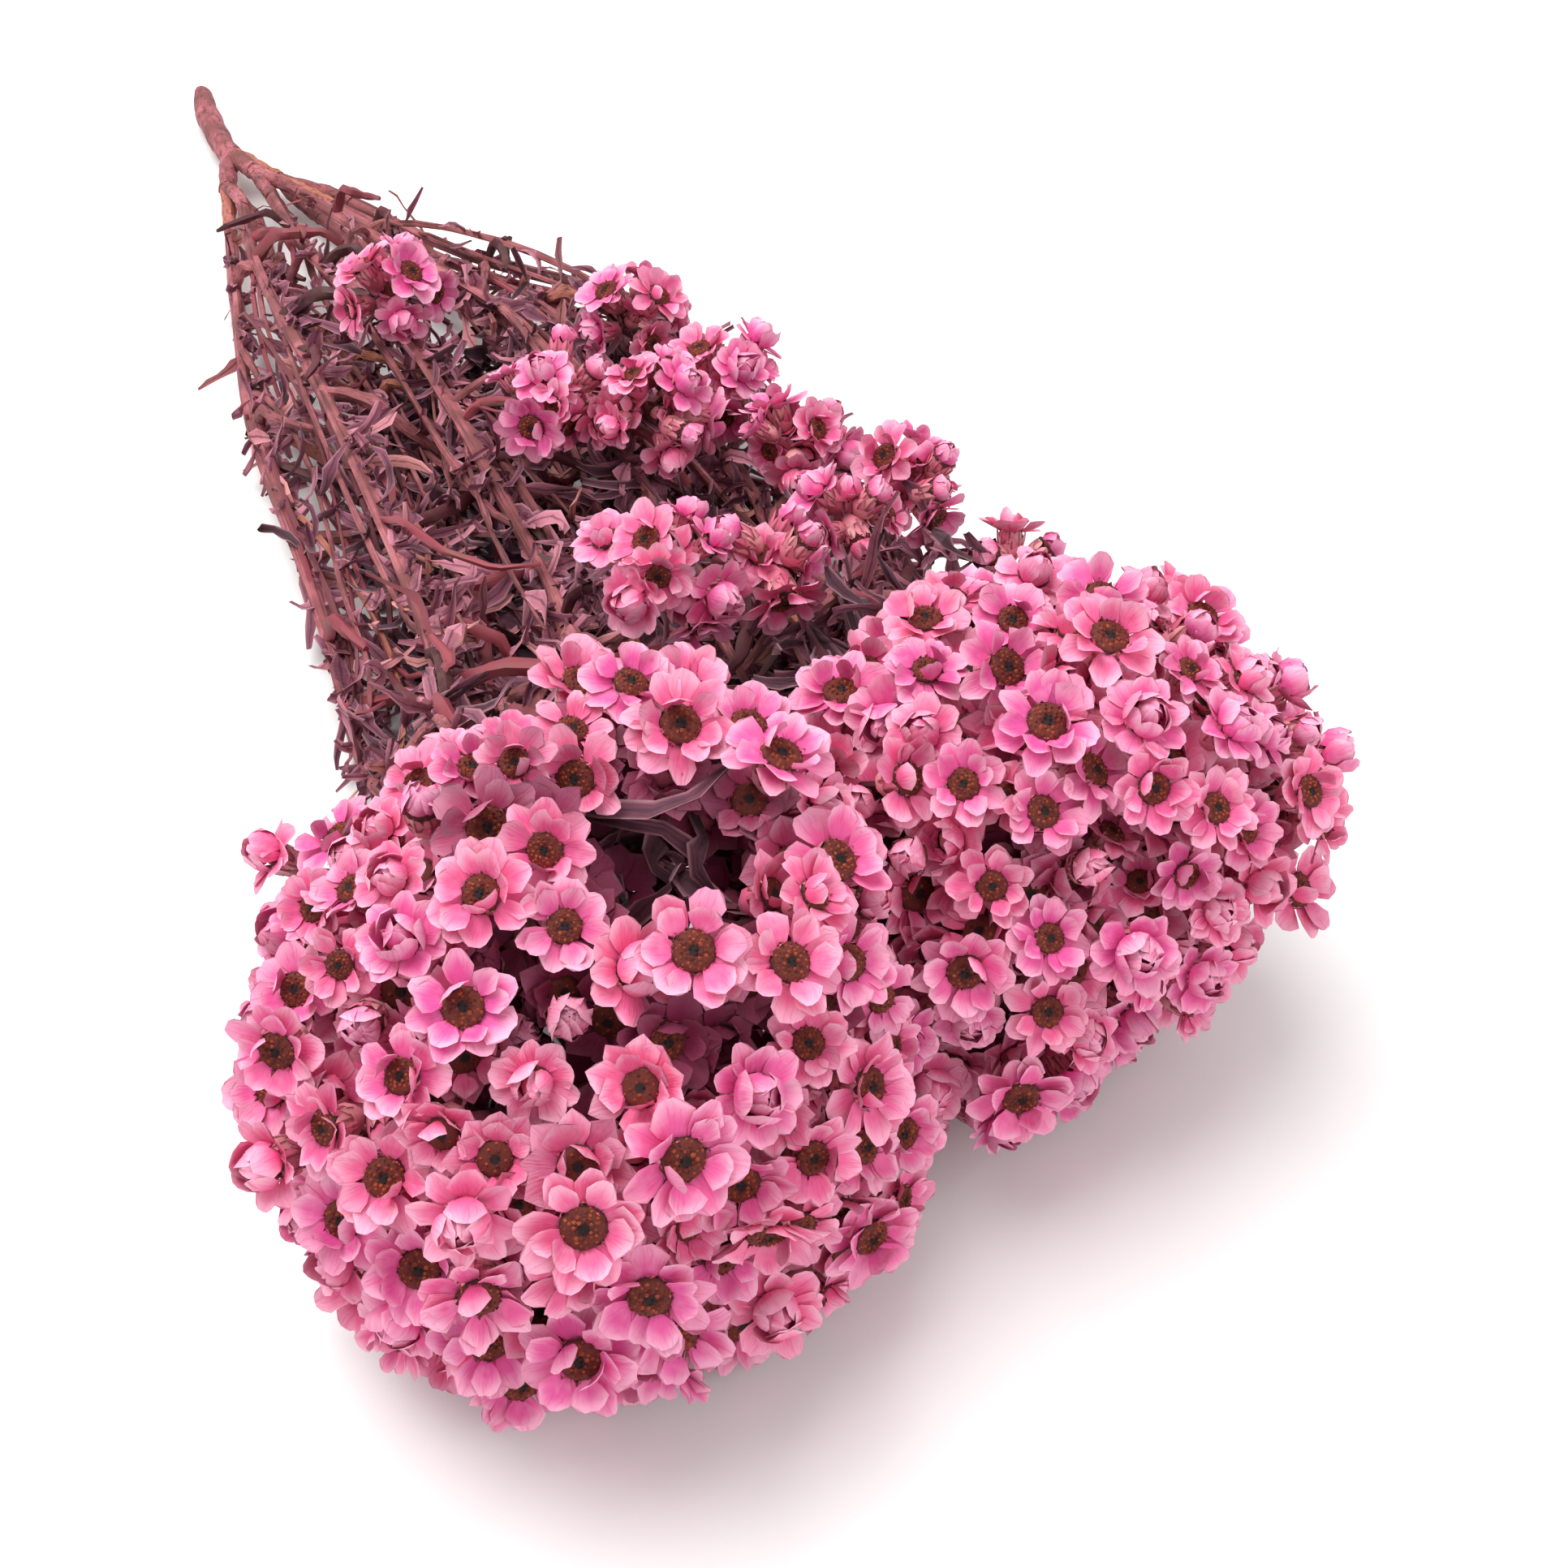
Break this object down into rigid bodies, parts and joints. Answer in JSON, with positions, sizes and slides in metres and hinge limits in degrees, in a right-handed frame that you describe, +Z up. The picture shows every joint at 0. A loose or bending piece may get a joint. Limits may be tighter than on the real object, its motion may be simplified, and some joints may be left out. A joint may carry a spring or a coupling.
{
  "type": "dried flower bunch",
  "caption": "Bunch of dried, pink-dyed ixodia lying on its side: a forked woody stalk, leafy stems and two domed heads of small papery daisies",
  "frame": {"origin": "bottom centre of the bounding box, on the surface that the bunch lies on", "axes": "+Y runs along the stalk towards its cut end, +Z is up, +X is to the right seen from the flower heads"},
  "size_m": [0.1612, 0.4454, 0.0754],
  "materials": {
    "bark": "dry dyed bark, dull",
    "dried_leaf": "dry, wrinkled, mauve-brown",
    "petals": "papery, faint sheen, dyed pink",
    "petals_deep": "papery, faint sheen, dyed deeper pink"
  },
  "bodies": {
    "root": {"stalk": "bark", "leafy_stem_1": "dried_leaf", "leafy_stem_2": "dried_leaf", "leafy_stem_3": "dried_leaf", "leafy_stem_4": "dried_leaf", "leafy_stem_5": "dried_leaf", "leafy_stem_6": "dried_leaf", "leafy_stem_7": "dried_leaf", "leafy_stem_8": "dried_leaf", "leafy_stem_9": "dried_leaf", "spray_left_1": "petals", "spray_left_2": "petals_deep", "spray_left_3": "petals", "spray_left_4": "petals_deep", "spray_left_5": "petals", "spray_left_6": "petals_deep", "spray_left_7": "petals", "spray_left_8": "petals_deep", "spray_left_9": "petals", "spray_right_1": "petals", "spray_right_2": "petals_deep", "spray_right_3": "petals", "spray_right_4": "petals_deep", "spray_right_5": "petals", "spray_right_6": "petals_deep", "spray_right_7": "petals", "spray_right_8": "petals_deep", "side_spray_1": "petals", "side_spray_2": "petals_deep", "side_spray_3": "petals", "side_spray_4": "petals_deep", "side_spray_5": "petals", "side_spray_6": "petals_deep", "side_spray_7": "petals", "side_spray_8": "petals_deep", "side_spray_9": "petals", "side_spray_10": "petals_deep", "side_spray_11": "petals"}
  },
  "joints": []
}
